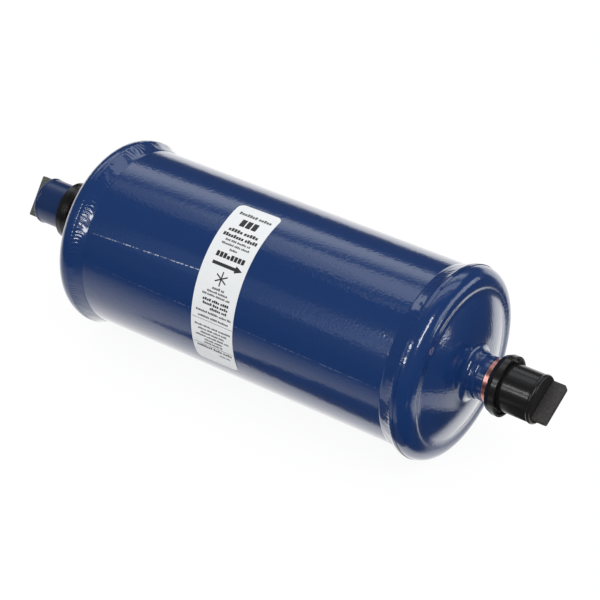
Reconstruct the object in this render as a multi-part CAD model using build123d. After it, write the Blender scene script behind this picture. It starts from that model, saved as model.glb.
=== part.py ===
"""Filter drier: a welded steel can with a spring-loaded desiccant bed, copper solder fittings and caps.

The frame's origin is the can's centre. +X is the way of the flow, from the inlet to the outlet, and +Z is up.
Sizes are in millimetres.
"""
import os
from math import asin, cos, degrees, radians, sin, sqrt

from build123d import *

os.makedirs("parts", exist_ok=True)

# ---------------------------------------------------------------- driving dimensions
SLIP = 0.05            # radial play of a metal joint that is slid together, then welded or brazed

# Shell tube
SHELL_R = 38.1
SHELL_WALL = 1.8
SHELL_HALF = 80.0      # half the tube's length

# End cups
CUP_WALL = 2.05
CUP_LAP = 3.4          # how far the skirt laps over the tube
KNUCKLE_SET = 0.8      # from the tube's end to where the knuckle starts
KNUCKLE_R = 6.0        # outside radius of the knuckle
DOME_R = 120.0         # outside radius of the shallow face
COLLAR_FILLET = 3.2    # outside, from the face into the collar
COLLAR_ENTRY = 4.0     # inside, from the face into the collar's hole
COLLAR_WALL = 0.6      # the collar thins as it is drawn
COLLAR_LEN = 1.0       # its straight part

# Seam welds between the skirt's edge and the tube
WELD_TOE = 3.6         # along the tube, in front of the skirt's edge
WELD_CAP = 4.0         # along the skirt, behind its edge
WELD_CROWN = 0.35      # above the skirt
WELD_COVER = 0.12      # above the skirt's outer corner

# Solder fittings for 5/8 in tube
SOCKET_R = 7.99
SOCKET_DEPTH = 14.0
SOCKET_WALL = 0.91
PORT_R = 7.1           # the passage behind the socket's stop
ROOT_WALL = 0.2        # how much thicker the fitting is where it leaves the collar
ROOT_LEN = 4.5         # the thicker root, measured from the collar's end
STUB_LEN = 22.4        # from the collar's end to the mouth of the socket
STUB_INNER = 5.6       # from the collar's end into the can
FLARE = 1.3            # radial height of the flared inner end
MOUTH_CHAMFER = 0.25
BRAZE_LEN = 1.2        # filler ring, along the fitting

# Shipping caps
CAP_FIT = 0.15         # radial play on the bare stub
CAP_WALL = 0.75
CAP_DEPTH = 17.6       # from the lip's face to the inside of the end
CAP_END = 1.4
CAP_BEAD = 0.3         # height of the rounded bead round the barrel's end
CAP_BEAD_LEN = 1.9
LIP_R = 12.4
LIP_FACE_R = 11.4      # the lip's smaller face, towards the can
LIP_BAND = 2.2         # where the lip's cone turns into a band
LIP_LEN = 4.5
LIP_WALL = 0.9
LIP_GROOVE = 1.3       # depth of the dish between lip and barrel
PADDLE_LEN = 6.4
PADDLE_W = 17.8
PADDLE_T = 2.0
PADDLE_CORNER = 0.6
PADDLE_BIG_CORNER = 1.4
INLET_CAP_ON = 12.57   # how far each cap is pushed on over its stub
OUTLET_CAP_ON = 14.97
INLET_TURN = 53.0      # turn of the grip round the axis, degrees from +Y towards +Z
OUTLET_TURN = 27.0

# Flow label, wrapped on the tube
LABEL_W = 20.4         # along the axis
LABEL_WRAP = 75.0      # round the tube
LABEL_T = 0.12
LABEL_GLUE = 0.07      # under the film
LABEL_CORNER = 2.6
LABEL_X = -6.7
LABEL_TURN = -59.5     # its middle, degrees from +Z towards +Y
LABEL_SKEW = 1.0       # it was stuck on slightly askew, degrees

# Filling
BORE_PLAY = 0.1        # pads and bed in the tube
PLATE_PLAY = 0.25      # plates and spacer in the tube
BED_LEN = 120.0
PAD_LEN = 6.0
SCREEN_T = 0.5
PLATE_T = 1.5
PLATE_RIM = 6.0
PLATE_BEND = 1.2
HOLE_R = 2.2
HOLE_PITCH = 9.5
HOLE_RINGS = 3
SPACER_WALL = 1.5
SPACER_LEN = 13.0
WIRE_D = 3.0
SPRING_R = 29.0        # to the middle of the wire
SPRING_TURNS = 3.0
SPRING_GRIND = 0.4     # ground off each end coil

# ---------------------------------------------------------------- derived places
BORE_R = SHELL_R - SHELL_WALL
CUP_R = SHELL_R + SLIP + CUP_WALL
SKIRT_EDGE = SHELL_HALF - CUP_LAP
KNUCKLE_X = SHELL_HALF + KNUCKLE_SET
KNUCKLE_Y = CUP_R - KNUCKLE_R
KNUCKLE_IN = KNUCKLE_R - CUP_WALL
DOME_X = KNUCKLE_X - sqrt((DOME_R - KNUCKLE_R) ** 2 - KNUCKLE_Y ** 2)
DOME_IN = DOME_R - CUP_WALL

STUB_R = SOCKET_R + SOCKET_WALL
ROOT_R = STUB_R + ROOT_WALL
HOLE_IN_CUP = ROOT_R + SLIP
COLLAR_R = HOLE_IN_CUP + COLLAR_WALL
COLLAR_FOOT = DOME_X + sqrt((DOME_R + COLLAR_FILLET) ** 2 - (COLLAR_R + COLLAR_FILLET) ** 2)
COLLAR_END = COLLAR_FOOT + COLLAR_LEN
STUB_END = COLLAR_END + STUB_LEN

CAP_BORE = STUB_R + CAP_FIT
BARREL_R = CAP_BORE + CAP_WALL
CAP_LEN = CAP_DEPTH + CAP_END
INLET_CAP_AT = STUB_END - INLET_CAP_ON
OUTLET_CAP_AT = STUB_END - OUTLET_CAP_ON

PLATE_R = BORE_R - PLATE_PLAY
PAD_R = BORE_R - BORE_PLAY


def polar(radius, angle):
    """Point at a distance and an angle in degrees."""
    return radius * cos(radians(angle)), radius * sin(radians(angle))


def seat_x(radius):
    """Where a flat ring of this radius meets the inside of a cup's knuckle or face."""
    crest = DOME_X + sqrt(DOME_IN ** 2 - radius ** 2)
    if radius > KNUCKLE_Y:
        crest = KNUCKLE_X + sqrt(KNUCKLE_IN ** 2 - (radius - KNUCKLE_Y) ** 2)
    return crest


def turned(*edges):
    """Solid turned round the X axis from a closed outline in the XY plane."""
    return revolve(make_face(Curve() + list(edges)), Axis.X, 360)


def turned_points(*points):
    """Solid turned round the X axis from straight lines through (x, radius) points."""
    return revolve(make_face(Polyline(*points, close=True)), Axis.X, 360)


def tube(x0, x1, outer, inner):
    """Plain ring between two places on the axis."""
    return turned_points((x0, inner), (x1, inner), (x1, outer), (x0, outer))


def disc(x0, x1, radius):
    """Plain disc between two places on the axis."""
    return Pos((x0 + x1) / 2, 0, 0) * Rot(0, 90, 0) * Cylinder(radius, x1 - x0)


def to_inlet(solid):
    """The same piece at the other end of the can."""
    return mirror(solid, about=Plane.YZ)


# ---------------------------------------------------------------- can
def shell_tube():
    return tube(-SHELL_HALF, SHELL_HALF, SHELL_R, BORE_R)


def end_cup():
    """Drawn cup: skirt, knuckle, shallow face and a collar pushed out round the fitting's hole."""
    def tangent(centre_y, radius, from_dome):
        # where an arc that touches the face's sphere meets it
        reach = sqrt(from_dome ** 2 - centre_y ** 2)
        return DOME_X + radius * reach / from_dome, radius * centre_y / from_dome

    slope = degrees(asin(KNUCKLE_Y / (DOME_R - KNUCKLE_R)))
    mid_knuckle = (90 + slope) / 2
    knuckle = (KNUCKLE_X, KNUCKLE_Y)
    fillet_y = COLLAR_R + COLLAR_FILLET
    entry_y = HOLE_IN_CUP + COLLAR_ENTRY
    entry_x = DOME_X + sqrt((DOME_IN + COLLAR_ENTRY) ** 2 - entry_y ** 2)

    def knuckle_arc(radius):
        start = (knuckle[0], knuckle[1] + radius)
        dx, dy = polar(radius, mid_knuckle)
        ex, ey = polar(radius, slope)
        return ThreePointArc(start, (knuckle[0] + dx, knuckle[1] + dy), (knuckle[0] + ex, knuckle[1] + ey))

    def face_arc(radius, outer_point, inner_point):
        middle = (outer_point[1] + inner_point[1]) / 2
        return ThreePointArc(outer_point, (DOME_X + sqrt(radius ** 2 - middle ** 2), middle), inner_point)

    out_knuckle, in_knuckle = knuckle_arc(KNUCKLE_R), knuckle_arc(KNUCKLE_IN)
    out_foot = tangent(fillet_y, DOME_R, DOME_R + COLLAR_FILLET)
    in_foot = tangent(entry_y, DOME_IN, DOME_IN + COLLAR_ENTRY)
    out_turn = polar(COLLAR_FILLET, 225)
    in_turn = polar(COLLAR_ENTRY, 225)
    out_end, in_end = (out_knuckle @ 1), (in_knuckle @ 1)
    out_face = face_arc(DOME_R, (out_end.X, out_end.Y), out_foot)
    in_face = face_arc(DOME_IN, (in_end.X, in_end.Y), in_foot)
    return turned(
        Line((SKIRT_EDGE, CUP_R), out_knuckle @ 0), out_knuckle, out_face,
        ThreePointArc(out_foot, (COLLAR_FOOT + out_turn[0], fillet_y + out_turn[1]), (COLLAR_FOOT, COLLAR_R)),
        Polyline((COLLAR_FOOT, COLLAR_R), (COLLAR_END, COLLAR_R), (COLLAR_END, HOLE_IN_CUP),
                 (entry_x, HOLE_IN_CUP)),
        ThreePointArc((entry_x, HOLE_IN_CUP), (entry_x + in_turn[0], entry_y + in_turn[1]), in_foot),
        in_face, in_knuckle,
        Polyline(in_knuckle @ 0, (SKIRT_EDGE, KNUCKLE_Y + KNUCKLE_IN), (SKIRT_EDGE, CUP_R)),
    )


def seam_weld():
    """Bead that climbs from the tube over the skirt's open edge and runs out on the skirt."""
    toe, end = SKIRT_EDGE - WELD_TOE, SKIRT_EDGE + WELD_CAP
    crest = (SKIRT_EDGE + WELD_CAP * 0.35, CUP_R + WELD_CROWN)
    climb = ThreePointArc((toe, SHELL_R), (SKIRT_EDGE, CUP_R + WELD_COVER), crest)
    run_out = ThreePointArc(crest, (SKIRT_EDGE + WELD_CAP * 0.7, CUP_R + WELD_CROWN * 0.7), (end, CUP_R))
    return turned(climb, run_out,
                  Polyline((end, CUP_R), (SKIRT_EDGE, CUP_R), (SKIRT_EDGE, SHELL_R), (toe, SHELL_R)))


# ---------------------------------------------------------------- fittings
def fitting():
    """Copper fitting: flared inner end, thicker root, bare stub and a socket with a stop."""
    inner = COLLAR_END - STUB_INNER
    root_end = COLLAR_END + ROOT_LEN
    stop = STUB_END - SOCKET_DEPTH
    wall = ROOT_R - PORT_R
    return turned_points(
        (inner, ROOT_R + FLARE), (inner + FLARE * 1.6, ROOT_R),
        (root_end - ROOT_WALL, ROOT_R), (root_end, STUB_R),
        (STUB_END - MOUTH_CHAMFER, STUB_R), (STUB_END, STUB_R - MOUTH_CHAMFER),
        (STUB_END, SOCKET_R + MOUTH_CHAMFER), (STUB_END - MOUTH_CHAMFER, SOCKET_R),
        (stop, SOCKET_R), (stop, PORT_R), (inner + FLARE * 1.6, PORT_R),
        (inner - wall / 4, ROOT_R + FLARE - wall),
    )


def braze_ring():
    """Filler ring in the corner between the collar's end and the fitting."""
    end = COLLAR_END + BRAZE_LEN
    bulge = (COLLAR_END + BRAZE_LEN * 0.6, ROOT_R + COLLAR_WALL * 0.65)
    return turned(ThreePointArc((COLLAR_END, COLLAR_R), bulge, (end, ROOT_R)),
                  Polyline((end, ROOT_R), (COLLAR_END, ROOT_R), (COLLAR_END, COLLAR_R)))


# ---------------------------------------------------------------- shipping caps
def shipping_cap(lip_at, turn, corner):
    """Thin moulded cap: flared lip with a dished top, barrel with an end bead, and a flat paddle grip."""
    bead_end = CAP_LEN
    bead_start = bead_end - CAP_BEAD_LEN
    dish = LIP_LEN - LIP_GROOVE
    body = turned(
        Polyline((0, CAP_BORE), (0, LIP_FACE_R), (LIP_BAND, LIP_R), (LIP_LEN, LIP_R),
                 (LIP_LEN, LIP_R - LIP_WALL), (dish, LIP_R - LIP_WALL - 0.2), (dish, BARREL_R),
                 (bead_start, BARREL_R)),
        ThreePointArc((bead_start, BARREL_R), (bead_start + CAP_BEAD_LEN * 0.4, BARREL_R + CAP_BEAD),
                      (bead_end, BARREL_R - CAP_BEAD * 2)),
        Polyline((bead_end, BARREL_R - CAP_BEAD * 2), (bead_end, 0), (CAP_DEPTH, 0),
                 (CAP_DEPTH, CAP_BORE), (0, CAP_BORE)),
    )
    grip = Rectangle(PADDLE_LEN + CAP_END / 2, PADDLE_W)
    low, high = grip.vertices().group_by(Axis.X)[-1].sort_by(Axis.Y)
    grip = fillet(low, PADDLE_CORNER)
    high = grip.vertices().sort_by(Axis.X)[-2:].sort_by(Axis.Y)[-1]
    grip = fillet(high, corner)
    blade = extrude(grip, PADDLE_T / 2, both=True)
    blade = Pos(CAP_LEN - CAP_END / 2 + (PADDLE_LEN + CAP_END / 2) / 2, 0, 0) * blade
    cap = body + Rot(turn, 0, 0) * blade
    return Pos(lip_at, 0, 0) * cap


# ---------------------------------------------------------------- label
def flow_label():
    """Rounded rectangle wrapped on the tube; its outline is worked out flat, then rolled on."""
    def flat_outline(steps=5):
        half_w, half_h = LABEL_W / 2 - LABEL_CORNER, LABEL_WRAP / 2 - LABEL_CORNER
        for quarter, (sx, sy) in enumerate(((1, 1), (-1, 1), (-1, -1), (1, -1))):
            for i in range(steps + 1):
                dx, dy = polar(LABEL_CORNER, 90 * quarter + 90 * i / steps)
                yield sx * half_w + dx, sy * half_h + dy

    def rolled(u, v):
        # turn by the skew, then roll the height round the tube
        skew = radians(LABEL_SKEW)
        along, around = u * cos(skew) - v * sin(skew), u * sin(skew) + v * cos(skew)
        return LABEL_X + along, SHELL_R * sin(around / SHELL_R)

    side = Plane(origin=(0, 0, 0), x_dir=(1, 0, 0), z_dir=(0, 0, 1))
    outline = make_face(side * Polyline(*(rolled(u, v) for u, v in flat_outline()), close=True))
    prism = extrude(outline, SHELL_R + 1)
    under = SHELL_R + LABEL_GLUE
    sheet = tube(LABEL_X - LABEL_W, LABEL_X + LABEL_W, under + LABEL_T, under)
    return Rot(-LABEL_TURN, 0, 0) * (sheet & prism)


# ---------------------------------------------------------------- filling
def holes(x0, x1):
    """Rings of holes round a centre hole, for a perforated plate."""
    cutters = [disc(x0 - 1, x1 + 1, HOLE_R)]
    for ring in range(1, HOLE_RINGS + 1):
        for i in range(6 * ring):
            y, z = polar(HOLE_PITCH * ring, 60 * i / ring)
            cutters.append(Pos(0, y, z) * disc(x0 - 1, x1 + 1, HOLE_R))
    return cutters


SPACER_END = seat_x(PLATE_R) - SLIP
OUTLET_PLATE_X = SPACER_END - SPACER_LEN
SCREEN_X = OUTLET_PLATE_X - PLATE_T
OUTLET_PAD_X = SCREEN_X - SCREEN_T
BED_X = OUTLET_PAD_X - PAD_LEN
INLET_PAD_X = BED_X - BED_LEN
SPRING_PLATE_X = INLET_PAD_X - PAD_LEN
SPRING_SEAT = -seat_x(SPRING_R + WIRE_D / 2)


def outlet_spacer():
    return tube(OUTLET_PLATE_X, SPACER_END, PLATE_R, PLATE_R - SPACER_WALL)


def outlet_plate():
    return disc(SCREEN_X, OUTLET_PLATE_X, PLATE_R) - holes(SCREEN_X, OUTLET_PLATE_X)


def spring_plate():
    """Perforated cup: its rim is turned back towards the inlet and keeps it square in the tube."""
    face = SPRING_PLATE_X - PLATE_T
    rim = SPRING_PLATE_X - PLATE_RIM
    cup = turned_points((SPRING_PLATE_X, 0), (SPRING_PLATE_X, PLATE_R - PLATE_BEND),
                        (SPRING_PLATE_X - PLATE_BEND, PLATE_R), (rim, PLATE_R), (rim, PLATE_R - PLATE_T),
                        (face, PLATE_R - PLATE_T), (face, 0))
    return cup - holes(face, SPRING_PLATE_X)


def bed_spring():
    """Coil spring with ends ground flat: one on the inlet cup's face, one on the spring plate."""
    seat, end = SPRING_SEAT, SPRING_PLATE_X - PLATE_T
    length = end - seat - WIRE_D + 2 * SPRING_GRIND
    path = Helix(length / SPRING_TURNS, length, SPRING_R)
    wire = Plane(origin=path @ 0, z_dir=path % 0) * Circle(WIRE_D / 2)
    coil = sweep(wire, path=path, is_frenet=True)
    coil = Pos(seat + WIRE_D / 2 - SPRING_GRIND, 0, 0) * Rot(0, 90, 0) * coil
    return coil & disc(seat, end, SPRING_R + WIRE_D)


NODES = {
    "shell_tube": shell_tube(),
    "outlet_end_cup": end_cup(),
    "outlet_seam_weld": seam_weld(),
    "outlet_fitting": fitting(),
    "outlet_braze_ring": braze_ring(),
    "outlet_cap": shipping_cap(OUTLET_CAP_AT, OUTLET_TURN, PADDLE_BIG_CORNER),
    "inlet_cap": to_inlet(shipping_cap(INLET_CAP_AT, INLET_TURN, PADDLE_CORNER)),
    "flow_label": flow_label(),
    "bed_spring": bed_spring(),
    "spring_plate": spring_plate(),
    "inlet_filter_pad": disc(SPRING_PLATE_X, INLET_PAD_X, PAD_R),
    "desiccant_bed": disc(INLET_PAD_X, BED_X, PAD_R),
    "outlet_filter_pad": disc(BED_X, OUTLET_PAD_X, PAD_R),
    "outlet_screen": disc(OUTLET_PAD_X, SCREEN_X, PAD_R),
    "outlet_plate": outlet_plate(),
    "outlet_spacer": outlet_spacer(),
}
for piece in ("end_cup", "seam_weld", "fitting", "braze_ring"):
    NODES[f"inlet_{piece}"] = to_inlet(NODES[f"outlet_{piece}"])

for name, solid in NODES.items():
    export_step(solid, f"parts/{name}.step")
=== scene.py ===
"""Looks of the filter drier: enamelled can, rippled seam welds, copper stubs, caps and the flow label.

Lengths are metres in the part's own frame: X runs along the can towards the outlet and Z is up.
"""

import logging
import math
import random
from contextlib import contextmanager
from dataclasses import dataclass
from enum import Enum
from functools import reduce
from typing import Callable, Iterator, Sequence

import bpy
from mathutils import Matrix, Vector, noise


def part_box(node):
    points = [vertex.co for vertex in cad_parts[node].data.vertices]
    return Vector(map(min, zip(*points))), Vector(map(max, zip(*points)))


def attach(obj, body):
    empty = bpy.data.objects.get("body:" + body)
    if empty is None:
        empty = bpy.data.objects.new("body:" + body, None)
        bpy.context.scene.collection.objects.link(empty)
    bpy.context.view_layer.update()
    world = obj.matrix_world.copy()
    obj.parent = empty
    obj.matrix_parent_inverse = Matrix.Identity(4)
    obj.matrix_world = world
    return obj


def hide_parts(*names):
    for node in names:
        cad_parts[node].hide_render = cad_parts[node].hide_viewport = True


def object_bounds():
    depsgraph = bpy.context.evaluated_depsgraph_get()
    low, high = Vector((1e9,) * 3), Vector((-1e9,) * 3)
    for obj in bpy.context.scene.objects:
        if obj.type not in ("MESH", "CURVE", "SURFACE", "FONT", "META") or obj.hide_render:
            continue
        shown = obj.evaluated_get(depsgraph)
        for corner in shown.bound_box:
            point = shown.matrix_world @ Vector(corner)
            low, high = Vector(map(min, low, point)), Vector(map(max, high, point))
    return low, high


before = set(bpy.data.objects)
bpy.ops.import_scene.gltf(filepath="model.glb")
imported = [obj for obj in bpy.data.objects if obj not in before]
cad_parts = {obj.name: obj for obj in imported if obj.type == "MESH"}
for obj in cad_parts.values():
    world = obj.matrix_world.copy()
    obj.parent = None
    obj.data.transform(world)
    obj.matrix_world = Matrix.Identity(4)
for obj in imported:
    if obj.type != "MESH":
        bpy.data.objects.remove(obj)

Colour = tuple[float, float, float, float]
Finish = bpy.types.Material
Piece = bpy.types.Object
Place = tuple[float, float, float]
Point = tuple[float, float]
Socket = bpy.types.NodeSocket

LOG = logging.getLogger("filter_drier")
CAD_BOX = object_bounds()
MM = 0.001
UP = Vector((0, 0, 1))
NAVY: Colour = (0.0077, 0.0325, 0.1270, 1.0)
BLACK: Colour = (0.0, 0.0, 0.0, 1.0)
WHITE: Colour = (1.0, 1.0, 1.0, 1.0)


class End(Enum):
    """An end of the can, with the way that it points along X."""

    INLET = -1
    OUTLET = 1

    def node(self, piece: str) -> str:
        """Returns the name of this end's piece."""
        return f"{self.name.lower()}_{piece}"


# ---- node sheets
class Sheet:
    """A material's nodes, laid out with short calls."""

    def __init__(self, name: str) -> None:
        """Starts a material with one Principled shader.

        Args:
            name: The material's name.
        """
        self.material = bpy.data.materials.new(name)
        self.material.use_nodes = True
        self.tree = self.material.node_tree
        self.shader = self.tree.nodes["Principled BSDF"]

    def put(self, kind: str, **settings: object) -> bpy.types.Node:
        """Adds a node and sets its properties.

        Args:
            kind: The node's type.
            **settings: Properties of the node.

        Returns:
            The new node.
        """
        node = self.tree.nodes.new(kind)
        for key, value in settings.items():
            setattr(node, key, value)
        return node

    def feed(self, socket: Socket, value: object) -> None:
        """Links a socket to an output, or sets it to a plain value."""
        if isinstance(value, Socket):
            self.tree.links.new(value, socket)
        else:
            socket.default_value = value

    def math(self, what: str, *values: object) -> Socket:
        """Adds a Math node.

        Args:
            what: The operation.
            *values: Its inputs, each an output socket or a number.

        Returns:
            The node's output.
        """
        node = self.put("ShaderNodeMath", operation=what)
        for socket, value in zip(node.inputs, values):
            self.feed(socket, value)
        return node.outputs[0]

    def times(self, *factors: object) -> Socket:
        """Multiplies outputs and numbers."""
        return reduce(lambda product, factor: self.math("MULTIPLY", product, factor), factors)

    def most(self, *values: object) -> Socket:
        """Returns the largest of some outputs and numbers."""
        return reduce(lambda most, value: self.math("MAXIMUM", most, value), values)

    def rest(self, share: object) -> Socket:
        """Returns what a share leaves of 1."""
        return self.math("SUBTRACT", 1.0, share)

    def rise(self, value: object, low: float, high: float) -> Socket:
        """Draws a smooth step up.

        Args:
            value: What is looked up.
            low: Where the step starts, at 0.
            high: Where it ends, at 1.

        Returns:
            The step.
        """
        node = self.put("ShaderNodeMapRange", interpolation_type="SMOOTHSTEP")
        for name, number in (("Value", value), ("From Min", low), ("From Max", high)):
            self.feed(node.inputs[name], number)
        return node.outputs[0]

    def fall(self, value: object, low: float, high: float) -> Socket:
        """Draws a smooth step down from 1 at low to 0 at high."""
        return self.rest(self.rise(value, low, high))

    def band(self, value: object, start: Point, stop: Point) -> Socket:
        """Draws a step up over the start and a step down over the stop."""
        return self.times(self.rise(value, *start), self.fall(value, *stop))

    def stops(self, value: object, points: Sequence[Point]) -> Socket:
        """Follows a line through a few points.

        Args:
            value: What is looked up, from 0 to 1.
            points: Each a value and the result there.

        Returns:
            The result.
        """
        node = self.put("ShaderNodeValToRGB")
        ramp = node.color_ramp
        while len(ramp.elements) < len(points):
            ramp.elements.new(1.0)
        for element, (at, result) in zip(ramp.elements, points):
            element.position, element.color = at, rgb(*(result,) * 3)
        self.feed(node.inputs[0], value)
        return node.outputs[0]

    def mix(self, factor: object, first: object, second: object) -> Socket:
        """Mixes two colours.

        Args:
            factor: How much of the second colour.
            first: A colour or an output.
            second: A colour or an output.

        Returns:
            The mixed colour.
        """
        node = self.put("ShaderNodeMix", data_type="RGBA")
        for socket, value in zip((node.inputs[0], node.inputs[6], node.inputs[7]), (factor, first, second)):
            self.feed(socket, value)
        return node.outputs[2]

    def noise(self, size: float, detail: float = 2.0, stretch: Sequence[float] = (1, 1, 1)) -> Socket:
        """Adds noise on the piece's own coordinates.

        Args:
            size: Width of one grain in metres.
            detail: How many finer layers it has.
            stretch: How much finer the grain is along each axis.

        Returns:
            The noise, around 0.5.
        """
        place = self.put("ShaderNodeMapping")
        place.inputs["Scale"].default_value = stretch
        self.feed(place.inputs["Vector"], self.object_coords())
        node = self.put("ShaderNodeTexNoise")
        node.inputs["Scale"].default_value = 1 / size
        node.inputs["Detail"].default_value = detail
        self.feed(node.inputs["Vector"], place.outputs[0])
        return node.outputs["Fac"]

    def object_coords(self) -> Socket:
        """Returns the piece's own coordinates."""
        return self.put("ShaderNodeTexCoord").outputs["Object"]

    def axes(self) -> tuple[Socket, ...]:
        """Returns X, Y and Z of the piece's own coordinates."""
        split = self.put("ShaderNodeSeparateXYZ")
        self.feed(split.inputs[0], self.object_coords())
        return tuple(split.outputs)

    def bump(self, height: object, depth: float) -> Socket:
        """Adds a Bump node.

        Args:
            height: Relief from 0 to 1.
            depth: Height of the relief in metres.

        Returns:
            The bumped normal.
        """
        node = self.put("ShaderNodeBump")
        node.inputs["Distance"].default_value = depth
        self.feed(node.inputs["Height"], height)
        return node.outputs[0]

    def dressed(self, **sockets: object) -> Finish:
        """Sets or links the shader's sockets.

        Args:
            **sockets: An output or a plain value for each, named with _ for a space.

        Returns:
            The finished material.
        """
        for name, value in sockets.items():
            self.feed(self.shader.inputs[name.replace("_", " ")], value)
        return self.material


def rgb(red: float, green: float, blue: float) -> Colour:
    """Returns an opaque linear colour."""
    return red, green, blue, 1.0


def scaled(colour: Colour, factor: float) -> Colour:
    """Returns a colour made lighter or darker."""
    return rgb(*(min(1.0, part * factor) for part in colour[:3]))


# ---- finishes
@dataclass(frozen=True)
class Mark:
    """A fine line on the can, from one place to another along the axis."""

    start_x: float
    end_x: float
    start_angle: float
    end_angle: float
    width: float
    strength: float


@dataclass(frozen=True)
class Enamel:
    """Baked glossy paint with slight orange peel."""

    name: str
    colour: Colour = NAVY
    peel_size: float = 1.1 * MM
    peel_depth: float = 0.056 * MM
    mottle: float = 30 * MM
    radius: float = 38.1 * MM
    scratches_and_reflections: tuple[Mark, ...] = ()
    mark_dots: float = 0.7 * MM
    mark_patches: float = 4 * MM
    scratch_and_reflection_colour: Colour = rgb(0.52, 0.56, 0.64)

    def material(self) -> Finish:
        """Builds the paint.

        Returns:
            The material.
        """
        sheet = Sheet(self.name)
        colour = sheet.mix(sheet.noise(self.mottle, 3), self.colour, scaled(self.colour, 1.12))
        if self.scratches_and_reflections:
            colour = self._with_scratch_and_reflection(sheet, colour)
        peel = sheet.math("ADD", sheet.noise(self.peel_size, 1.5),
                          sheet.times(sheet.noise(self.peel_size * 4, 1), 0.4))
        normal = sheet.bump(peel, self.peel_depth)
        return sheet.dressed(Base_Color=colour, Roughness=0.18, Coat_Weight=1.0, Coat_Roughness=0.035,
                             Normal=normal, Coat_Normal=normal)

    def _with_scratch_and_reflection(self, sheet: Sheet, colour: Socket) -> Socket:
        """Draws the scratch, and a faint pale line along the tube that is a painted reflection of the table's
        front edge.

        Args:
            sheet: The paint's nodes.
            colour: The paint's colour so far.

        Returns:
            The colour with the marks on it.
        """
        x, y, z = sheet.axes()
        angle = sheet.math("ARCTAN2", y, z)
        dots = sheet.times(sheet.rise(sheet.noise(self.mark_dots, 2), 0.42, 0.54),
                           sheet.rise(sheet.noise(self.mark_patches, 2), 0.30, 0.55))
        for mark in self.scratches_and_reflections:
            start, turn = (math.radians(a) for a in (mark.start_angle, mark.end_angle - mark.start_angle))
            along = sheet.math("DIVIDE", sheet.math("SUBTRACT", x, mark.start_x), mark.end_x - mark.start_x)
            off = sheet.math("SUBTRACT", angle, sheet.math("MULTIPLY_ADD", along, turn, start))
            off = sheet.times(sheet.math("ABSOLUTE", off), self.radius)
            inside = sheet.times(sheet.math("GREATER_THAN", along, 0.0), sheet.math("LESS_THAN", along, 1.0))
            on = sheet.times(sheet.fall(off, mark.width * 0.35, mark.width), inside, mark.strength)
            on = sheet.times(on, dots, sheet.rise(along, -0.1, 0.35))
            # Mixes in the real scratch and the pale line that is a painted reflection of the table's edge.
            colour = sheet.mix(on, colour, self.scratch_and_reflection_colour)
        return colour


@dataclass(frozen=True)
class PaintedCopper:
    """Bright drawn copper, under enamel up to a masked line."""

    name: str
    paint_end: float
    colour: Colour = rgb(0.88, 0.47, 0.42)
    tarnish: Colour = rgb(0.70, 0.30, 0.25)
    paint: Colour = NAVY
    ragged: float = 0.5 * MM
    edge: Point = (0.20 * MM, 0.34 * MM)

    def material(self) -> Finish:
        """Builds the copper and the paint on its root.

        Returns:
            The material.
        """
        sheet = Sheet(self.name)
        x, _, _ = sheet.axes()
        ragged = sheet.times(sheet.noise(2.2 * MM, 2), self.ragged)
        reach = sheet.math("ADD", sheet.math("ABSOLUTE", x), ragged)
        bare = sheet.rise(reach, *(self.paint_end + edge for edge in self.edge))
        drawn = sheet.noise(0.5 * MM, 3, stretch=(0.15, 1, 1))
        copper = sheet.mix(sheet.noise(3 * MM, 3), self.colour, self.tarnish)
        rough = sheet.math("MULTIPLY_ADD", bare, 0.16, 0.16)
        return sheet.dressed(Base_Color=sheet.mix(bare, self.paint, copper), Metallic=bare, Roughness=rough,
                             Coat_Weight=sheet.rest(bare), Coat_Roughness=0.04,
                             Normal=sheet.bump(drawn, 0.006 * MM))


@dataclass(frozen=True)
class MouldedCap:
    """Glossy moulded barrel and a matte grip, with paint on the barrel where the cap was sprayed too."""

    name: str
    grip_start: float
    lip_end: float
    sprayed: bool
    plastic: Colour = rgb(0.0125, 0.0118, 0.0115)
    grip: Colour = rgb(0.040, 0.037, 0.036)
    spray: Colour = rgb(0.0100, 0.0290, 0.0980)
    dusty_grip: Colour = rgb(0.085, 0.088, 0.075)

    def material(self) -> Finish:
        """Builds the plastic.

        Returns:
            The material.
        """
        sheet = Sheet(self.name)
        x, _, _ = sheet.axes()
        reach = sheet.math("ABSOLUTE", x)
        on_grip = sheet.rise(reach, self.grip_start, self.grip_start + 0.25 * MM)
        speckle = sheet.noise(0.6 * MM, 4)
        grip = self.dusty_grip if self.sprayed else self.grip
        grip_colour = sheet.mix(sheet.rise(speckle, 0.45, 0.75), grip, scaled(grip, 1.9))
        barrel = self.plastic
        if self.sprayed:
            edge = sheet.math("ADD", reach, sheet.times(sheet.noise(1.5 * MM, 3), 0.8 * MM))
            sprayed = sheet.rise(edge, self.lip_end, self.lip_end + 0.6 * MM)
            barrel = sheet.mix(sprayed, self.plastic, self.spray)
        relief = sheet.noise(0.35 * MM if self.sprayed else 4 * MM, 2)
        return sheet.dressed(Base_Color=sheet.mix(on_grip, barrel, grip_colour),
                             Roughness=sheet.math("MULTIPLY_ADD", on_grip, 0.30, 0.22),
                             Normal=sheet.bump(relief, 0.02 * MM))


@dataclass(frozen=True)
class LabelFilm:
    """Satin white film."""

    name: str = "label_film"
    colour: Colour = rgb(0.82, 0.835, 0.845)
    shade: Colour = rgb(0.76, 0.775, 0.785)

    def material(self) -> Finish:
        """Builds the film.

        Returns:
            The material.
        """
        sheet = Sheet(self.name)
        colour = sheet.mix(sheet.noise(9 * MM, 3), self.colour, self.shade)
        return sheet.dressed(Base_Color=colour, Roughness=0.34,
                             Normal=sheet.bump(sheet.noise(1.2 * MM, 2), 0.004 * MM))


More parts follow.
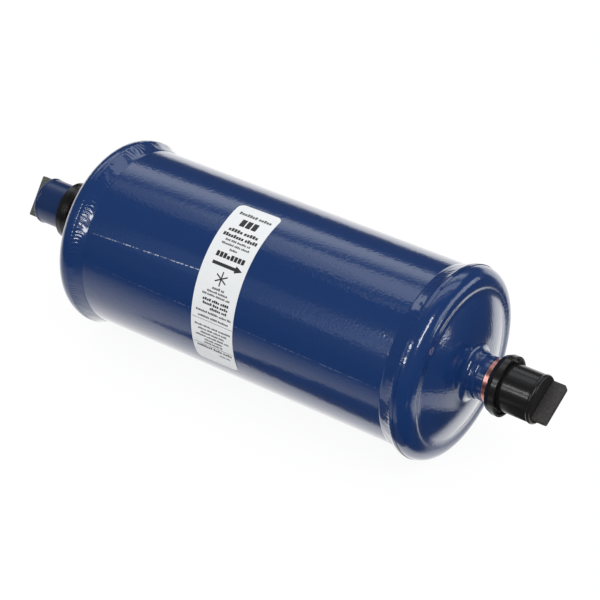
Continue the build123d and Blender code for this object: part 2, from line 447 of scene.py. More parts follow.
@dataclass(frozen=True)
class Ink:
    """Printing ink, slightly uneven."""

    name: str
    shade: float

    def material(self) -> Finish:
        """Builds the ink.

        Returns:
            The material.
        """
        sheet = Sheet(self.name)
        solid, thin = rgb(*(self.shade,) * 3), rgb(*(self.shade * 1.7 + 0.01,) * 3)
        return sheet.dressed(Base_Color=sheet.mix(sheet.noise(0.5 * MM, 2), solid, thin), Roughness=0.45)


@dataclass(frozen=True)
class BareMetal:
    """Plain steel, drawn or rolled."""

    name: str
    colour: Colour
    roughness: float
    grain: Place = (1, 1, 1)

    def material(self) -> Finish:
        """Builds the steel.

        Returns:
            The material.
        """
        sheet = Sheet(self.name)
        lines = sheet.noise(0.8 * MM, 3, stretch=self.grain)
        return sheet.dressed(Base_Color=sheet.mix(lines, self.colour, scaled(self.colour, 0.8)), Metallic=1.0,
                             Roughness=sheet.math("MULTIPLY_ADD", lines, 0.15, self.roughness),
                             Normal=sheet.bump(lines, 0.005 * MM))


@dataclass(frozen=True)
class WireCloth:
    """Fine woven wire, drawn as a grid of raised wires, with the holes between them painted dark as shade."""

    name: str = "wire_cloth"
    pitch: float = 0.6 * MM
    gap: Colour = rgb(0.08, 0.08, 0.08)
    wire: Colour = rgb(0.55, 0.56, 0.57)

    def material(self) -> Finish:
        """Builds the cloth.

        Returns:
            The material.
        """
        sheet = Sheet(self.name)
        _, y, z = sheet.axes()
        wires = [sheet.math("PINGPONG", axis, self.pitch / 2) for axis in (y, z)]
        weave = sheet.math("DIVIDE", sheet.most(*wires), self.pitch / 2)
        # Painted shade: the holes between the wires take the dark gap colour.
        return sheet.dressed(Base_Color=sheet.mix(sheet.rise(weave, 0.3, 0.7), self.gap, self.wire),
                             Metallic=0.9, Roughness=0.38, Normal=sheet.bump(weave, 0.12 * MM))


@dataclass(frozen=True)
class PackedBeads:
    """Desiccant beads or pressed felt, by size and colour, with painted shade in the gaps between the beads.
    """

    name: str
    colour: Colour
    shade: Colour
    size: float
    depth: float

    def material(self) -> Finish:
        """Builds the fill.

        Returns:
            The material.
        """
        sheet = Sheet(self.name)
        cells = sheet.put("ShaderNodeTexVoronoi")
        cells.inputs["Scale"].default_value = 1 / self.size
        sheet.feed(cells.inputs["Vector"], sheet.object_coords())
        heap = sheet.rest(cells.outputs["Distance"])
        # Painted shade: the low gaps between the cells take the darker shade colour.
        colour = sheet.mix(sheet.rise(heap, 0.35, 0.8), self.shade, self.colour)
        return sheet.dressed(Base_Color=colour, Roughness=0.85, Normal=sheet.bump(heap, self.depth))


# ---- shared making
class Maker:
    """Edit-mode steps that the sub-assemblies share."""

    @staticmethod
    def clear_selection() -> None:
        """Deselects everything, the fixed nodes included."""
        bpy.ops.object.select_all(action="DESELECT")

    @staticmethod
    def finished(obj: Piece, name: str, finish: Finish, slot: str, body: str) -> None:
        """Names a piece, dresses it and ties it to its body.

        Args:
            obj: The piece.
            name: Its name.
            finish: Its material.
            slot: The record's material slot; not used.
            body: The body that it moves with.
        """
        obj.name = obj.data.name = name
        obj.data.materials.clear()
        obj.data.materials.append(finish)
        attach(obj, body)
        LOG.info("%s: %d faces, rides on %s", name, len(obj.data.polygons), body)

    @staticmethod
    @contextmanager
    def editing(chosen: str = "SELECT") -> Iterator[None]:
        """Opens the active mesh for a few edits.

        Args:
            chosen: "SELECT" to start with all of it selected, or "DESELECT" with none.
        """
        bpy.ops.object.mode_set(mode="EDIT")
        bpy.ops.mesh.select_all(action=chosen)
        yield
        bpy.ops.object.mode_set(mode="OBJECT")

    @staticmethod
    def pick(kind: str, wanted: Callable[..., bool]) -> None:
        """Selects parts of the active mesh and opens it for edits.

        Args:
            kind: "FACE" or "EDGE".
            wanted: Says whether a face or edge is to be selected.
        """
        with Maker.editing("DESELECT"):
            bpy.ops.mesh.select_mode(type=kind)
        mesh = bpy.context.object.data
        for part in mesh.polygons if kind == "FACE" else mesh.edges:
            part.select = wanted(part)
        bpy.ops.object.mode_set(mode="EDIT")

    @staticmethod
    def turn(section: Sequence[Point], end: End, steps: int) -> Piece:
        """Spins a closed section round the can's axis.

        Args:
            section: Its points, each a distance from the can's middle and a radius.
            end: The end that it stands at.
            steps: How many faces it has round the axis.

        Returns:
            The turned piece.
        """
        Maker.clear_selection()
        bpy.ops.mesh.primitive_circle_add(vertices=len(section), fill_type="NOTHING")
        piece = bpy.context.object
        for vert, (x, radius) in zip(piece.data.vertices, section):
            vert.co = (end.value * x, 0, radius)
        with Maker.editing():
            bpy.ops.mesh.spin(steps=steps, angle=math.tau, center=(0, 0, 0), axis=(1, 0, 0))
            bpy.ops.mesh.select_all(action="SELECT")
            bpy.ops.mesh.remove_doubles(threshold=1e-6)
            bpy.ops.mesh.normals_make_consistent(inside=False)
        return piece

    @staticmethod
    def dress(nodes: Sequence[str], finish: Finish) -> None:
        """Gives fixed nodes a finish.

        Args:
            nodes: The nodes' names.
            finish: Their material.
        """
        for name in nodes:
            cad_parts[name].data.materials[0] = finish
            LOG.info("%s: %s", name, finish.name)


# ---- sub-assemblies
@dataclass
class Can:
    """Tube and braze rings, under one coat of enamel."""

    # Painted reflection: a faint, broken pale line along the tube at about -78 degrees, where the table's
    # front edge is mirrored; the scratch is a real mark.
    table_edge_reflection: Mark = Mark(-74 * MM, 73 * MM, -77.6, -80.0, 0.24 * MM, 0.16)
    scratch: Mark = Mark(-71.3 * MM, -17.0 * MM, -58.3, -54.3, 0.30 * MM, 0.9)

    def dress(self) -> None:
        """Paints the fixed nodes."""
        tube = Enamel("tube_enamel", scratches_and_reflections=(self.table_edge_reflection, self.scratch)).material()
        Maker.dress(["shell_tube"], tube)
        ring = Enamel("ring_enamel", peel_depth=0.02 * MM).material()
        Maker.dress([end.node("braze_ring") for end in End], ring)


@dataclass
class EndCup:
    """Drawn cup, in place of the plainer one: the rim stands a little proud of a shallow ring-shaped dip."""

    end: End
    skirt_edge: float = 76.6 * MM
    skirt_radius: float = 40.2 * MM
    wall: float = 2.05 * MM
    melt: float = 2.6 * MM
    melt_depth: float = 1.64 * MM
    knuckle_x: float = 80.8 * MM
    knuckle_y: float = 34.2 * MM
    knuckle: float = 6.0 * MM
    dip: float = 5.5 * MM
    dip_lean: float = 12.0
    face_lean: float = 22.0
    foot_lean: float = 5.4
    collar_fillet: float = 3.2 * MM
    collar_radius: float = 9.75 * MM
    collar_foot: float = 94.57 * MM
    collar_length: float = 1.0 * MM
    hole: float = 9.15 * MM
    entry: float = 4.0 * MM
    face_in: float = 117.95 * MM
    face_in_x: float = -27.95 * MM
    steps: int = 216
    rim_steps: int = 34
    bend_steps: int = 20
    face_steps: int = 18
    inner_steps: int = 16
    face_in_steps: int = 12
    crease: float = 35.0

    @staticmethod
    def arc(centre: Point, radius: float, start: float, stop: float, count: int) -> list[Point]:
        """Lists points on an arc.

        Args:
            centre: Its centre, along the axis and outwards.
            radius: Its radius, less than 0 for a hollow one.
            start: Lean of its first normal off the axis, in degrees.
            stop: Lean of its last normal.
            count: How many steps it has.

        Returns:
            The points.
        """
        leans = [math.radians(start + (stop - start) * i / count) for i in range(count + 1)]
        return [(centre[0] + radius * math.cos(a), centre[1] + radius * math.sin(a)) for a in leans]

    def section(self) -> list[Point]:
        """Lays out the cup's section, outside first.

        Returns:
            Its points, each a distance from the can's middle and a radius.
        """
        bend = (self.knuckle_x, self.knuckle_y)
        rim = self.arc(bend, self.knuckle, 90, -self.dip_lean, self.rim_steps)
        lean = math.radians(self.dip_lean)
        turn = (rim[-1][0] + self.dip * math.cos(lean), rim[-1][1] - self.dip * math.sin(lean))
        dip = self.arc(turn, -self.dip, -self.dip_lean, self.face_lean, self.bend_steps)
        foot_centre = (self.collar_foot, self.collar_radius + self.collar_fillet)
        foot = self.arc(foot_centre, -self.collar_fillet, self.foot_lean, 90, self.bend_steps)
        face = self._face(dip[-1], foot[0])
        end = self.collar_foot + self.collar_length
        entry_y = self.hole + self.entry
        entry_x = self.face_in_x + math.sqrt((self.face_in + self.entry) ** 2 - entry_y ** 2)
        inside = math.degrees(math.asin(entry_y / (self.face_in + self.entry)))
        entry = self.arc((entry_x, entry_y), -self.entry, 90, inside, self.inner_steps)
        slope = math.degrees(math.asin(self.knuckle_y / (self.face_in - self.knuckle + self.wall)))
        face_in = self.arc((self.face_in_x, 0), self.face_in, inside, slope, self.face_in_steps)
        rim_in = self.arc(bend, self.knuckle - self.wall, slope, 90, self.inner_steps)
        melted = [(self.skirt_edge, self.skirt_radius - self.melt_depth),
                  (self.skirt_edge + self.melt, self.skirt_radius)]
        return [*melted, *rim, *dip[1:], *face, *foot, (end, self.collar_radius), (end, self.hole), *entry,
                *face_in[1:], *rim_in[1:], (self.skirt_edge, self.skirt_radius - self.wall)]

    def _face(self, start: Point, stop: Point) -> list[Point]:
        """Lists the points of the face between the dip and the collar's foot.

        Args:
            start: The dip's last point.
            stop: The foot's first point.

        Returns:
            The points between them, on a curve that leaves each at its lean.
        """
        points, span = [], start[1] - stop[1]
        steep, flat = (math.tan(math.radians(lean)) * span for lean in (self.face_lean, self.foot_lean))
        for i in range(1, self.face_steps):
            t = i / self.face_steps
            x = ((2 * t ** 3 - 3 * t ** 2 + 1) * start[0] + (t ** 3 - 2 * t ** 2 + t) * steep
                 + (3 * t ** 2 - 2 * t ** 3) * stop[0] + (t ** 3 - t ** 2) * flat)
            points.append((x, start[1] - span * t))
        return points

    def build(self, finish: Finish) -> None:
        """Spins the section and dresses it.

        Args:
            finish: The cup's paint.
        """
        cup = Maker.turn(self.section(), self.end, self.steps)
        bpy.ops.object.shade_smooth_by_angle(angle=math.radians(self.crease))
        Maker.finished(cup, self.end.node("drawn_cup"), finish, "can_paint", "can")
        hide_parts(self.end.node("end_cup"))


@dataclass
class SeamWeld:
    """Rippled bead round the tube, in place of one plain weld ring."""

    end: End
    tube_radius: float = 38.1 * MM
    skirt_radius: float = 40.2 * MM
    toe_step: float = 0.12 * MM
    toe_share: float = 0.06
    crest: float = 0.10 * MM
    crest_at: float = 0.84
    root: float = 0.25 * MM
    ripple_pitch: float = 1.9 * MM
    ripple_depth: float = 0.11 * MM
    ripple_lag: float = 2.4 * MM
    wander: float = 2.6 * MM
    wander_size: float = 6 * MM
    patch_size: float = 8 * MM
    lump_depth: float = 0.20 * MM
    lump_size: float = 3.4 * MM
    grain_depth: float = 0.05 * MM
    grain_size: float = 1.2 * MM
    steps: int = 900
    rings: int = 18
    crease: float = 60.0

    def outline(self) -> list[Point]:
        """Returns the section's points, each a distance from the can's middle and a radius."""
        low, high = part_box(End.OUTLET.node("seam_weld"))
        toe, heel, crown = low[0], high[0], high[1]
        height, points = crown - self.tube_radius - self.toe_step - self.crest, []
        for i in range(self.rings + 1):
            t = i / self.rings
            step = self.toe_step * min(1.0, t / self.toe_share)
            ramp = height * min(1.0, t / self.crest_at) ** 1.02
            crest = self.crest * max(0.0, 1 - abs(t - self.crest_at) / (1 - self.crest_at))
            points.append((toe + (heel - toe) * t, self.tube_radius + step + ramp + crest))
        return points

    def build(self, finish: Finish) -> None:
        """Spins the section round the can and presses the ripples into it.

        Args:
            finish: The bead's paint.
        """
        section = self.outline()
        toe, heel = section[0][0], section[-1][0]
        section += [(heel, self.skirt_radius - self.root), (toe, self.tube_radius - self.root)]
        bead = Maker.turn(section, self.end, self.steps)
        self._press_ripples(bead)
        bpy.ops.object.shade_smooth_by_angle(angle=math.radians(self.crease))
        Maker.finished(bead, self.end.node("rippled_weld"), finish, "weld_paint", "can")
        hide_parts(self.end.node("seam_weld"))

    def _press_ripples(self, bead: Piece) -> None:
        """Moves the bead's outside in by crescents that lag behind the torch, and by slow unevenness.

        Args:
            bead: The plain spun bead.
        """
        toe, heel = self.outline()[0][0], self.outline()[-1][0]
        for vert in bead.data.vertices:
            radius = math.hypot(vert.co.y, vert.co.z)
            across = (abs(vert.co.x) - toe) / (heel - toe)
            if radius < self.tube_radius - self.root / 2 or not 0.01 < across < 0.99:
                continue
            round_it = math.atan2(vert.co.y, vert.co.z) * radius
            window = math.sin(math.pi * across) ** 0.6
            place = Vector(vert.co)
            wander = noise.noise(place / self.wander_size) * self.wander
            lag = self.ripple_lag * (2 * across - 1) ** 2
            crescent = 0.5 + 0.5 * math.sin(math.tau * (round_it + wander + lag) / self.ripple_pitch)
            patch = noise.noise(place / self.patch_size + Vector((3, 1, 7)))
            strong = min(1.0, max(0.0, 0.5 + 1.6 * patch))
            lumps = 0.5 + 0.5 * noise.noise(place / self.lump_size)
            grain = 0.5 + 0.5 * noise.noise(place / self.grain_size)
            uneven = self.lump_depth * (1 - lumps) + self.grain_depth * grain
            scale = 1 - window * (self.ripple_depth * crescent * strong + uneven) / radius
            vert.co.y *= scale
            vert.co.z *= scale


@dataclass
class Fittings:
    """Copper stubs and the shipping caps on them."""

    paint_end: float = 100.1 * MM
    grip_length: float = 6.4 * MM
    lip_length: float = 4.5 * MM

    def dress(self) -> None:
        """Gives the fittings and caps their finishes."""
        for end in End:
            Maker.dress([end.node("fitting")], PaintedCopper(end.node("copper"), self.paint_end).material())
            lip, tip = sorted(abs(corner[0]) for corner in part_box(end.node("cap")))
            finish = MouldedCap(end.node("cap_plastic"), tip - self.grip_length, lip + self.lip_length,
                                sprayed=end is End.INLET)
            Maker.dress([end.node("cap")], finish.material())


class Print(Enum):
    """How a row is printed: as thin words, thick words or an unbroken rule."""

    LIGHT = "light"
    HEAVY = "heavy"
    RULE = "rule"


@dataclass(frozen=True)
class Row:
    """A line of print: where it lies round the tube in degrees, its ends along the axis, and its height."""

    angle: float
    left: float
    right: float
    height: float
    kind: Print = Print.LIGHT


@dataclass
class FlowLabel:
    """Print of the label: an arrow, a sign for cold, rules, and runs of plain ticks for lines of words."""

    radius: float = 38.29 * MM
    lift: float = 0.03 * MM
    thickness: float = 0.02 * MM
    seed: int = 11
    grain: float = 0.4 * MM
    tick_pitch: float = 0.80
    tick_width: float = 0.8
    short_share: float = 0.45
    short_height: float = 0.72
    word_length: Point = (2.2, 6.5)
    word_gap: float = 0.6
    last_gap: float = 1.5
    weld_within: float = 2e-7
    nudge: float = 0.01 * MM
    arrow: Row = Row(-46.5, -13.0 * MM, 1.4 * MM, 1.35 * MM)
    arrow_head: float = 3.4 * MM
    arrow_spread: float = 2.3
    arrow_steps: int = 4
    flake: Row = Row(-54.6, -9.3 * MM, -3.3 * MM, 0.55 * MM)
    flake_turns: tuple[float, ...] = (30, 90, 150)
    flake_cuts: int = 5
    rows: tuple[Row, ...] = tuple(
        Row(angle, left * MM, right * MM, height * MM, *kind)
        for angle, left, right, height, *kind in (
            (-10.7, -14.6, 0.7, 1.5),
            (-17.4, -11.0, -3.0, 3.6, Print.HEAVY),
            (-24.0, -13.8, 0.2, 1.5, Print.HEAVY),
            (-27.8, -14.8, 1.4, 1.5, Print.HEAVY),
            (-31.0, -12.4, -0.6, 0.9),
            (-33.6, -13.2, 0.0, 0.9),
            (-36.4, -8.3, -4.7, 0.9),
            (-40.8, -13.0, 0.6, 2.2, Print.HEAVY),
            (-61.0, -9.0, -3.3, 1.1),
            (-63.4, -11.0, -1.3, 0.8),
            (-65.6, -13.0, 0.3, 0.8),
            (-68.8, -12.2, 0.3, 1.1, Print.HEAVY),
            (-71.3, -11.8, 0.3, 1.1, Print.HEAVY),
            (-73.8, -8.0, 0.0, 1.1, Print.HEAVY),
            (-76.8, -14.5, 2.6, 0.9),
            (-80.0, -13.2, 1.4, 0.9),
            (-82.3, -16.0, 3.6, 0.16, Print.RULE),
            (-86.4, -14.7, 2.8, 0.8),
            (-88.9, -13.0, 1.0, 0.8),
            (-91.4, -11.8, -0.3, 0.8),
            (-93.8, -14.3, 2.0, 0.8),
            (-96.3, -10.0, -1.5, 0.8),
            (-98.6, -10.5, -1.5, 0.8),
            (-100.6, -15.6, 3.6, 0.16, Print.RULE),
            (-102.4, -14.3, 2.8, 1.2),
            (-106.0, -3.8, 1.5, 0.8),
        ))

    def build(self) -> None:
        """Lays out the print flat, rolls it on the label and dresses it."""
        Maker.dress(["flow_label"], LabelFilm().material())
        shuffle = random.Random(self.seed)
        for name, kinds, shade in (("label_heavy_print", (Print.HEAVY, Print.RULE), 0.018),
                                   ("label_light_print", (Print.LIGHT,), 0.085)):
            bars = [bar for row in self.rows if row.kind in kinds for bar in self._line(row, shuffle)]
            if Print.HEAVY in kinds:
                bars += [self._arrow(), *self._flake()]
            self._finish(bars, name, Ink(name, shade).material())

    def _round(self, row: Row) -> float:
        """Returns where a row's middle lies, measured round the tube."""
        return math.radians(row.angle) * self.radius

    def _line(self, row: Row, shuffle: random.Random) -> list[Piece]:
        """Adds a rule, or a row split into words.

        Args:
            row: The row.
            shuffle: Source of the words' lengths.

        Returns:
            The flat pieces.
        """
        if row.kind is Print.RULE:
            return [self._bar(row, row.left, row.right)]
        words, at = [], row.left
        while at < row.right:
            stop = min(row.right, at + row.height * shuffle.uniform(*self.word_length))
            if row.right - stop < self.last_gap * row.height:
                stop = row.right
            words.append((at, stop))
            at = stop + row.height * self.word_gap
        return [self._word(row, left, right, shuffle) for left, right in words]

    def _word(self, row: Row, left: float, right: float, shuffle: random.Random) -> Piece:
        """Adds one word as a run of plain ticks.

        Args:
            row: The row that it stands in.
            left: Its start along the axis.
            right: Its end.
            shuffle: Source of the ticks' heights.

        Returns:
            The flat run.
        """
        ticks = max(1, round((right - left) / (self.tick_pitch * row.height)))
        columns = 2 * ticks - 1
        word = self._bar(row, left, right, columns)
        step = (right - left) / (ticks - 1 + self.tick_width)
        for vert in word.data.vertices:
            column = round((vert.co.x - left) / (right - left) * columns)
            vert.co.x = left + step * (column // 2 + self.tick_width * (column % 2))
        short = [shuffle.random() < self.short_share for _ in range(ticks)]
        short_top = self._round(row) + (self.short_height - 0.5) * row.height

        def blank(face: bpy.types.MeshPolygon) -> bool:
            """Tells whether a face lies between two ticks or above a short one."""
            tick = (face.center.x - left) / step
            above = face.center.y > short_top and short[min(ticks - 1, int(tick))]
            return above or tick % 1 > self.tick_width

        Maker.pick("FACE", blank)
        bpy.ops.mesh.delete(type="FACE")
        bpy.ops.object.mode_set(mode="OBJECT")
        return word

    def _bar(self, row: Row, left: float, right: float, columns: int = 1) -> Piece:
        """Adds one flat bar, with its height along Y measured round the tube.

        Args:
            row: The row that it stands in.
            left: Its start along the axis.
            right: Its end.
            columns: How many faces it has along the axis.

        Returns:
            The bar.
        """
        Maker.clear_selection()
        bpy.ops.mesh.primitive_grid_add(
            x_subdivisions=columns, y_subdivisions=max(4, round(row.height / self.grain)), size=1,
            location=((left + right) / 2, self._round(row), 0))
        bar = bpy.context.object
        bar.scale = (right - left, row.height, 1)
        bpy.ops.object.transform_apply()
        return bar

    def _arrow(self) -> Piece:
        """Adds the arrow.

        Returns:
            A flat bar whose end is widened, then drawn to a point.
        """
        row, step = self.arrow, self.arrow_head / self.arrow_steps
        neck = row.right - self.arrow_head
        middle = (neck, self._round(row), 0)
        shaft = self._bar(row, row.left, neck)
        mesh = shaft.data
        Maker.pick("EDGE", lambda edge: all(mesh.vertices[i].co.x > neck - self.nudge for i in edge.vertices))
        bpy.ops.mesh.extrude_region_move(TRANSFORM_OT_translate={"value": (self.nudge, 0, 0)})
        bpy.ops.transform.resize(value=(1, self.arrow_spread, 1), center_override=middle)
        for _ in range(self.arrow_steps):
            bpy.ops.mesh.extrude_region_move(TRANSFORM_OT_translate={"value": (step, 0, 0)})
        bpy.ops.object.mode_set(mode="OBJECT")
        for vert in mesh.vertices:
            if vert.co.x > neck + 2 * self.nudge:
                left = max(0.0, (row.right - vert.co.x) / self.arrow_head)
                vert.co.y = middle[1] + (vert.co.y - middle[1]) * left
        return shaft

    def _flake(self) -> list[Piece]:
        """Adds a plain sign for cold.

        Returns:
            Its three crossed flat bars.
        """
        row, arms = self.flake, []
        centre = ((row.left + row.right) / 2, self._round(row), 0)
        for turn in self.flake_turns:
            arms.append(self._bar(row, row.left, row.right))
            with Maker.editing():
                bpy.ops.mesh.subdivide(number_cuts=self.flake_cuts)
                bpy.ops.transform.rotate(value=math.radians(turn), orient_axis="Z", center_override=centre)
        return arms

    def _finish(self, bars: list[Piece], name: str, ink: Finish) -> None:
        """Joins flat shapes, rolls them on the label and gives them thickness.

        Args:
            bars: The flat shapes.
            name: The joined piece's name.
            ink: Its material.
        """
        Maker.clear_selection()
        for bar in bars:
            bar.select_set(True)
        bpy.context.view_layer.objects.active = bars[0]
        bpy.ops.object.join()
        sheet = bpy.context.object
        radius = self.radius + self.lift
        for vert in sheet.data.vertices:
            angle = vert.co.y / self.radius
            vert.co = (vert.co.x, radius * math.sin(angle), radius * math.cos(angle))
        with Maker.editing():
            bpy.ops.mesh.remove_doubles(threshold=self.weld_within)
        solid = sheet.modifiers.new("thickness", "SOLIDIFY")
        solid.thickness, solid.offset = self.thickness, -1
        bpy.ops.object.modifier_apply(modifier=solid.name)
        Maker.finished(sheet, name, ink, "label_film", "can")


@dataclass
class Filling:
    """Hidden pieces inside the can."""

    def dress(self) -> None:
        """Gives the filling its finishes."""
        steel, bright = rgb(0.58, 0.59, 0.61), rgb(0.50, 0.51, 0.53)
        felt, felt_shade = rgb(0.80, 0.79, 0.74), rgb(0.60, 0.59, 0.54)
        bead, bead_shade = rgb(0.72, 0.62, 0.48), rgb(0.28, 0.22, 0.16)
        for nodes, finish in (
            (["bed_spring"], BareMetal("spring_wire", bright, 0.28)),
            (["spring_plate", "outlet_plate", "outlet_spacer"],
             BareMetal("pressed_steel", steel, 0.32, grain=(1, 1, 0.1))),
            (["outlet_screen"], WireCloth()),
            (["inlet_filter_pad", "outlet_filter_pad"],
             PackedBeads("pressed_felt", felt, felt_shade, 0.5 * MM, 0.10 * MM)),
            (["desiccant_bed"], PackedBeads("desiccant_beads", bead, bead_shade, 2.0 * MM, 0.9 * MM)),
        ):
            Maker.dress(nodes, finish.material())


# ---- studio
@dataclass(frozen=True)
class Lamp:
    """Flat rectangular lamp between the middles of its two short sides; a radiance of 1 is white."""

    name: str
    start: Place
    end: Place
    width: float
    radiance: float
    tint: Place = (0.90, 0.95, 1.0)
    level: bool = False


@dataclass(frozen=True)
class Stretch:
    """Soft-edged stretch of the table along a level direction, with where it starts and where it ends."""

    way: Point
    start: Point
    end: Point


@dataclass
class Studio:
    """Camera, white table, lamps and a plain room round them."""

    eye: Place = (0.415345, -0.570769, 0.487150)
    look: Place = (-0.47613, 0.66943, -0.57023)
    lens: float = 126.72
    sensor: float = 36.0
    table_half: float = 4.0
    box_height: float = 0.90
    boxes: tuple[tuple[str, Point, Point, float], ...] = (
        ("back_box", (-1.0, 1.0), (0.80, 1.212), 1.24),
        ("back_box_edge", (-1.0, 1.0), (0.70, 0.80), 0.85),
        ("back_box_rim", (-1.0, 1.0), (0.615, 0.70), 0.35),
        ("top_box", (-0.30, 1.0), (0.165, 0.505), 1.02),
        ("top_box_side", (-0.42, -0.30), (0.165, 0.505), 0.66),
        ("top_box_end", (-0.58, -0.42), (0.20, 0.505), 0.34),
        ("near_strip", (-0.47, 0.9), (0.010, 0.062), 0.62),
    )
    screen_height: float = 0.5
    mirrored: float = 1.08
    room_matte: float = 0.68
    room_mirrored: float = 0.05
    table_fade: tuple[Point, ...] = (
        (0.10, 0.02), (0.23, 0.05), (0.43, 0.28), (0.545, 0.46), (0.625, 0.59), (0.68, 0.66), (0.725, 0.74),
        (0.76, 0.82), (0.79, 0.93), (0.82, 1.0))
    white_way: Point = (1, -0.22)
    white_end: Point = (0.094, 0.101)
    beyond: float = 0.03
    # Pale patches of painted light on the table, seen only in reflections: each a strength and two soft
    # stretches that bound it.
    painted_light_pools: tuple[tuple[float, Stretch, Stretch], ...] = (
        (0.85, Stretch((1, 1), (0.117, 0.125), (0.148, 0.158)),
         Stretch((1, -1), (0.085, 0.100), (0.170, 0.205))),
        (1.0, Stretch((1, 0), (0.150, 0.156), (0.170, 0.178)),
         Stretch((0, 1), (-0.092, -0.080), (-0.035, -0.015))),
        (1.0, Stretch((1, 0.6), (0, 0.01), (0.168, 0.180)),
         Stretch((0, 1), (0.055, 0.062), (0.086, 0.096))),
    )
    shade_near: Point = (0.099, -0.0455)
    shade_far: Point = (-0.217, -0.0712)
    shade_corner: float = 0.022
    shade_edges: Point = (0.003, 0.004)
    shade_depth: float = 0.92
    bulbs: tuple[Lamp, ...] = (
        Lamp("low_side_box", (1.57, 0.28, 0.38), (0.85, 1.36, 0.02), 0.46, 1.6),
        Lamp("low_spot", (0.42, 0.11, -0.02), (0.44, 0.17, -0.02), 0.06, 4.5, (1, 1, 1)),
        Lamp("side_strip", (0.65, -0.13, 0.88), (0.65, -0.65, 0.62), 0.15, 10.0, (1, 1, 1)),
        Lamp("front_upper", (-0.175, -0.505, 0.435), (-0.020, -0.518, 0.443), 0.060, 11.0, (1, 1, 1)),
        Lamp("front_lower", (-0.175, -0.604, 0.288), (-0.020, -0.617, 0.296), 0.060, 11.0, (1, 1, 1)),
        Lamp("front_glow", (-0.290, -0.570, 0.350), (-0.225, -0.610, 0.350), 0.250, 0.55, (0.6, 0.75, 1.0)),
        Lamp("front_haze", (-0.440, -0.500, 0.350), (-0.290, -0.570, 0.350), 0.250, 0.20, (0.6, 0.75, 1.0)),
    )

    def across(self) -> Vector:
        """Returns the level direction to the camera's right."""
        return Vector(self.look).cross(UP).normalized()

    def away(self) -> Vector:
        """Returns the level direction away from the camera."""
        return Vector((self.look[0], self.look[1], 0)).normalized()

    def camera(self) -> None:
        """Sets up the camera."""
        data = bpy.data.cameras.new("camera")
        data.lens, data.sensor_width = self.lens, self.sensor
        data.clip_end = 50
        obj = bpy.data.objects.new("camera", data)
        bpy.context.collection.objects.link(obj)
        obj.location = self.eye
        obj.rotation_euler = Vector(self.look).to_track_quat("-Z", "Y").to_euler()
        bpy.context.scene.camera = obj

    def soft_box(self, name: str, sideways: Point, back: Point, radiance: float) -> Lamp:
        """Lays out a level soft box over the table.

        Args:
            name: Its name.
            sideways: Its ends to the camera's left and right.
            back: Its near and far edge, away from the camera.
            radiance: How bright its face is, where 1 is white.

        Returns:
            The box as a lamp.
        """
        middle = self.away() * (sum(back) / 2) + UP * self.box_height
        start, end = (tuple(middle + self.across() * side) for side in sideways)
        return Lamp(name, start, end, back[1] - back[0], radiance, level=True)

    @staticmethod
    def hang(lamp: Lamp) -> None:
        """Hangs a lamp, level or turned to the can.

        Args:
            lamp: The lamp.
        """
        start, end = Vector(lamp.start), Vector(lamp.end)
        middle = (start + end) / 2
        along = (end - start).normalized()
        behind = UP if lamp.level else middle.normalized()
        behind = (behind - along * behind.dot(along)).normalized()
        data = bpy.data.lights.new(lamp.name, "AREA")
        data.shape = "RECTANGLE"
        data.size, data.size_y = (end - start).length, lamp.width
        data.color = lamp.tint
        data.energy = lamp.radiance * math.pi * data.size * data.size_y
        obj = bpy.data.objects.new(lamp.name, data)
        bpy.context.collection.objects.link(obj)
        obj.location = middle
        obj.rotation_euler = Matrix((along, behind.cross(along), behind)).transposed().to_euler()

    def table(self) -> None:
        """Lays the white table under the can, with a soft shadow."""
        height = CAD_BOX[0][2] - 0.05 * MM
        Maker.clear_selection()
        bpy.ops.mesh.primitive_plane_add(size=2 * self.table_half, location=(0, 0, height))
        bpy.ops.object.transform_apply()
        top = bpy.context.object
        top.name = "table"
        sheet = Sheet("white_table")
        _, y, _ = sheet.axes()
        fade = sheet.stops(sheet.math("MULTIPLY_ADD", y, 5.0, 1.0), self.table_fade)
        # Brightness in reflections: the fade, the white end with its pools of painted light, and the wedge of
        # painted shade.
        mirror = sheet.times(fade, self._table_end(sheet), sheet.rest(self._shade_wedge(sheet)))
        self._lit(sheet, mirror, seen=0.93, matte=0.09, spread=0.7)
        top.data.materials.append(sheet.material)

    def backdrop(self) -> None:
        """Stands a low white screen at the table's far edge."""
        Maker.clear_selection()
        far = self.away() * (self.table_half - 0.1)
        bpy.ops.mesh.primitive_plane_add(size=1)
        screen = bpy.context.object
        for vert in screen.data.vertices:
            side = self.across() * (vert.co.x * 2 * self.table_half)
            height = CAD_BOX[0][2] + (vert.co.y + 0.5) * self.screen_height
            vert.co = (far.x + side.x, far.y + side.y, height)
        screen.name = "backdrop"
        sheet = Sheet("white_screen")
        _, _, z = sheet.axes()
        self._lit(sheet, sheet.fall(z, 0.10, 0.42), seen=1.0, matte=0.0, spread=0.0)
        screen.data.materials.append(sheet.material)

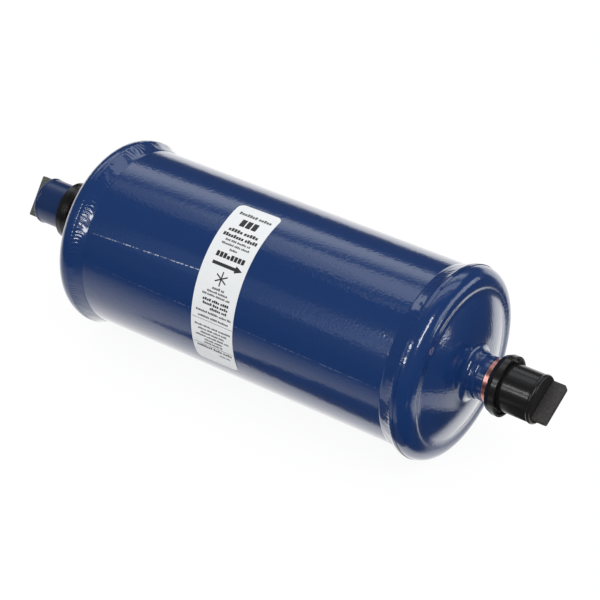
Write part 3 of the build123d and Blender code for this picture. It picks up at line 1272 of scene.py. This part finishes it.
    def _lit(self, sheet: Sheet, mirror: Socket, seen: float, matte: float, spread: float) -> None:
        """Finishes a stage surface that is white to the camera and a bright field in reflections.

        Args:
            sheet: Its nodes.
            mirror: Its brightness in reflections, up to 1.
            seen: Its glow to the camera.
            matte: Its matte share to the camera.
            spread: Its matte share to other surfaces.
        """
        sheet.tree.nodes.remove(sheet.shader)
        path = sheet.put("ShaderNodeLightPath")
        camera = path.outputs["Is Camera Ray"]
        reflected = sheet.most(path.outputs["Is Glossy Ray"], path.outputs["Is Transmission Ray"])
        glow = sheet.put("ShaderNodeEmission")
        strength = sheet.math("ADD", sheet.times(camera, seen), sheet.times(reflected, mirror, self.mirrored))
        sheet.feed(glow.inputs["Strength"], strength)
        paper = sheet.put("ShaderNodeBsdfDiffuse")
        share = sheet.math("ADD", sheet.times(camera, matte), sheet.times(sheet.rest(camera), spread))
        share = sheet.times(share, sheet.rest(reflected))
        sheet.feed(paper.inputs["Color"], sheet.mix(share, BLACK, WHITE))
        both = sheet.put("ShaderNodeAddShader")
        sheet.feed(both.inputs[0], glow.outputs[0])
        sheet.feed(both.inputs[1], paper.outputs[0])
        out = next(node for node in sheet.tree.nodes if node.type == "OUTPUT_MATERIAL")
        sheet.feed(out.inputs["Surface"], both.outputs[0])

    @staticmethod
    def _along(sheet: Sheet, way: Point) -> Socket:
        """Returns the place on the table along a level direction."""
        x, y, _ = sheet.axes()
        return sheet.math("ADD", sheet.times(x, way[0]), sheet.times(y, way[1]))

    def _table_end(self, sheet: Sheet) -> Socket:
        """Finds the white part of the table and the pale patches of painted light past its right-hand end,
        pools of light seen only in reflections.

        Args:
            sheet: The table's nodes.

        Returns:
            1 on the white part, and little beyond it but for the patches.
        """
        pale_and_painted_light = sheet.most(sheet.fall(self._along(sheet, self.white_way), *self.white_end), self.beyond)
        for strength, *sides in self.painted_light_pools:
            bands = (sheet.band(self._along(sheet, side.way), side.start, side.end) for side in sides)
            pale_and_painted_light = sheet.most(pale_and_painted_light, sheet.times(strength, *bands))
        return pale_and_painted_light

    def _shade_wedge(self, sheet: Sheet) -> Socket:
        """Finds the wedge of shade in front of the can, which widens towards the outlet.

        Args:
            sheet: The table's nodes.

        Returns:
            How dark the shade is, up to 1.
        """
        x, y, _ = sheet.axes()
        near = sheet.math("MULTIPLY_ADD", x, *self.shade_near)
        far = sheet.math("MULTIPLY_ADD", sheet.math("MINIMUM", x, self.shade_corner), *self.shade_far)
        below = sheet.rise(sheet.math("SUBTRACT", near, y), 0.0, self.shade_edges[0])
        above = sheet.rise(sheet.math("SUBTRACT", y, far), 0.0, self.shade_edges[1])
        return sheet.times(below, above, self.shade_depth)

    def room(self) -> None:
        """Sets the room: white to the camera, even light on matte surfaces, dim in reflections."""
        world = bpy.data.worlds.new("room")
        bpy.context.scene.world = world
        world.use_nodes = True
        tree = world.node_tree
        back = tree.nodes["Background"]
        path = tree.nodes.new("ShaderNodeLightPath")
        target = back.inputs["Strength"]
        for rays, seen in (("Is Camera Ray", 1.0), ("Is Glossy Ray", self.room_mirrored)):
            choice = tree.nodes.new("ShaderNodeMix")
            tree.links.new(path.outputs[rays], choice.inputs[0])
            tree.links.new(choice.outputs[0], target)
            choice.inputs[3].default_value = seen
            target = choice.inputs[2]
        target.default_value = self.room_matte
        back.inputs["Color"].default_value = WHITE

    def build(self) -> None:
        """Sets up the whole studio."""
        self.camera()
        self.table()
        self.backdrop()
        self.room()
        for lamp in (*(self.soft_box(*box) for box in self.boxes), *self.bulbs):
            self.hang(lamp)
        bpy.context.scene.view_settings.view_transform = "Standard"
        LOG.info("studio ready")


def main() -> None:
    """Builds the filter drier's looks and the studio round it."""
    logging.basicConfig(level=logging.INFO, format="%(name)s: %(message)s")
    Can().dress()
    cup_paint = Enamel("cup_enamel").material()
    weld_paint = Enamel("weld_enamel", peel_depth=0.014 * MM).material()
    for end in End:
        EndCup(end).build(cup_paint)
        SeamWeld(end).build(weld_paint)
    Fittings().dress()
    FlowLabel().build()
    Filling().dress()
    Studio().build()


if __name__ == "__main__":
    main()
